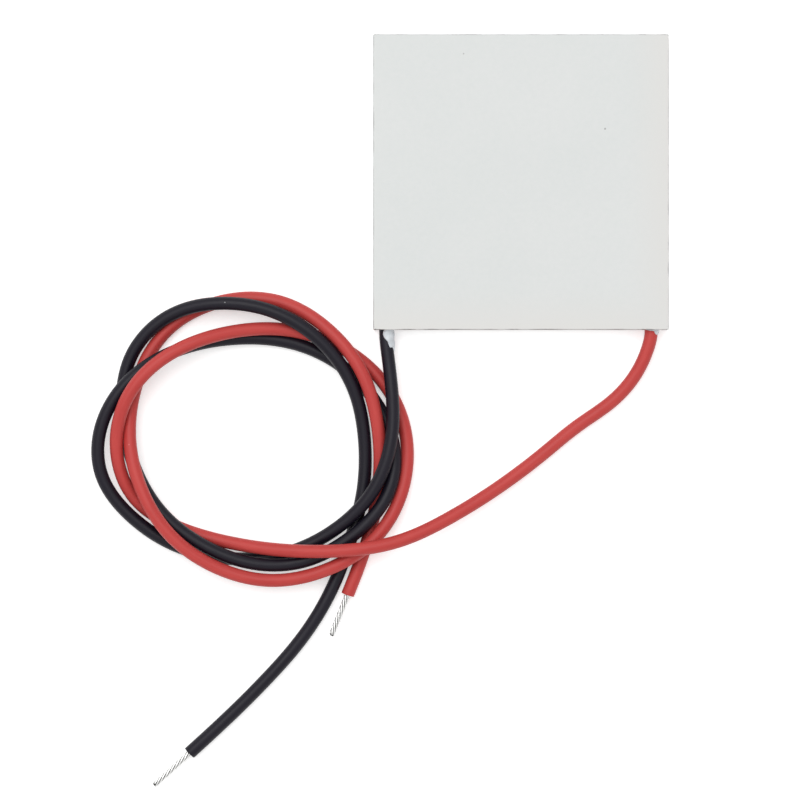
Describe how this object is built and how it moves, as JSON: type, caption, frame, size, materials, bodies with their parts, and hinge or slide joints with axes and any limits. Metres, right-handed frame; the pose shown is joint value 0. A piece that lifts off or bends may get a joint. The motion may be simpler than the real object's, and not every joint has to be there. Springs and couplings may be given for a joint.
{
  "type": "thermoelectric cooling module",
  "caption": "Square ceramic plate cooling module with sealed edge and two loosely coiled bare ended leads.",
  "frame": {"origin": "centre of the hot plate's outer face, which the module lies on", "axes": "+Z from the hot plate to the cold plate, and the leads leave at -Y, black at -X and red at +X"},
  "size_m": [0.0781, 0.1022, 0.0059],
  "materials": {
    "ceramic": "matt white alumina ceramic",
    "sealant": "translucent white silicone",
    "copper": "bare copper",
    "solder": "satin solder",
    "p_type": "dull grey semiconductor",
    "n_type": "dull grey semiconductor",
    "black_silicone": "satin silicone rubber",
    "red_silicone": "satin silicone rubber",
    "tinned_copper": "tinned copper strands"
  },
  "bodies": {
    "root": {"hot_side_plate": "ceramic", "cold_side_plate": "ceramic", "edge_seal": "sealant", "hot_side_tabs": "copper", "cold_side_tabs": "copper", "far_side_turn_tabs": "copper", "lead_side_turn_tabs": "copper", "black_lead_pad": "copper", "red_lead_pad": "copper", "hot_side_solder": "solder", "cold_side_solder": "solder", "p_type_legs_column_1": "p_type", "p_type_legs_column_2": "p_type", "p_type_legs_column_3": "p_type", "p_type_legs_column_4": "p_type", "p_type_legs_column_5": "p_type", "p_type_legs_column_6": "p_type", "p_type_legs_column_7": "p_type", "p_type_legs_column_8": "p_type", "p_type_legs_column_9": "p_type", "p_type_legs_column_10": "p_type", "p_type_legs_column_11": "p_type", "p_type_legs_column_12": "p_type", "p_type_legs_column_13": "p_type", "p_type_legs_column_14": "p_type", "p_type_legs_column_15": "p_type", "p_type_legs_column_16": "p_type", "n_type_legs_column_1": "n_type", "n_type_legs_column_2": "n_type", "n_type_legs_column_3": "n_type", "n_type_legs_column_4": "n_type", "n_type_legs_column_5": "n_type", "n_type_legs_column_6": "n_type", "n_type_legs_column_7": "n_type", "n_type_legs_column_8": "n_type", "n_type_legs_column_9": "n_type", "n_type_legs_column_10": "n_type", "n_type_legs_column_11": "n_type", "n_type_legs_column_12": "n_type", "n_type_legs_column_13": "n_type", "n_type_legs_column_14": "n_type", "n_type_legs_column_15": "n_type", "n_type_legs_column_16": "n_type", "black_lead": "black_silicone", "red_lead": "red_silicone", "black_lead_tail": "tinned_copper", "red_lead_tail": "tinned_copper", "black_lead_joint": "solder", "red_lead_joint": "solder", "black_lead_strands": "tinned_copper", "red_lead_strands": "tinned_copper", "black_lead_sealant": "sealant", "red_lead_sealant": "sealant"}
  },
  "joints": []
}
